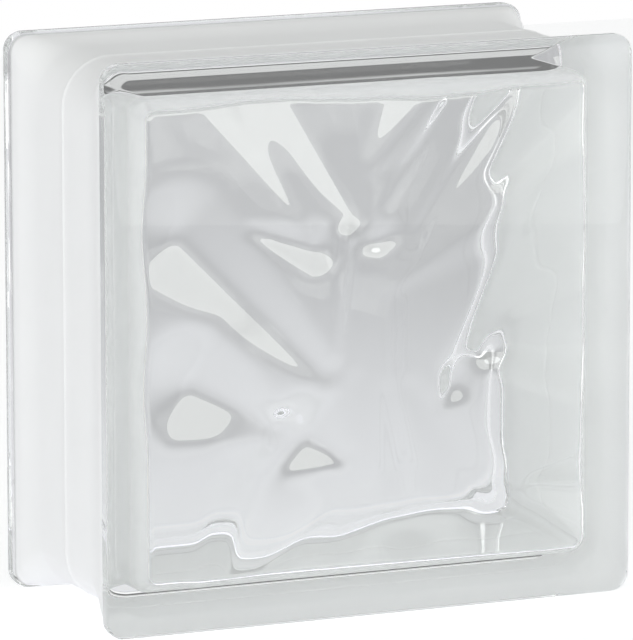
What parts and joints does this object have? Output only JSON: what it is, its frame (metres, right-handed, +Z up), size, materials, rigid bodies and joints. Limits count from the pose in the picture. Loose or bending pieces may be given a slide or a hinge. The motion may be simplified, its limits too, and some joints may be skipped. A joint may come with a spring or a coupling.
{
  "type": "glass block",
  "caption": "Square hollow glass block with waves pressed into the inside of its front face, square rims and a white-coated mortar key round its edge.",
  "frame": {"origin": "middle of the footprint, on the level that the two rims stand on", "axes": "+X to the right seen from the front face, +Y from the front face to the back face, +Z up"},
  "size_m": [0.1968, 0.0984, 0.1969],
  "materials": {
    "clear_glass": "fire-polished clear pressed glass with a faint grey-green tint",
    "white_edge_coating": "white brushed-on polymer coating, satin"
  },
  "bodies": {
    "root": {"front_shell": "clear_glass", "back_shell": "clear_glass", "edge_coating": "white_edge_coating"}
  },
  "joints": []
}
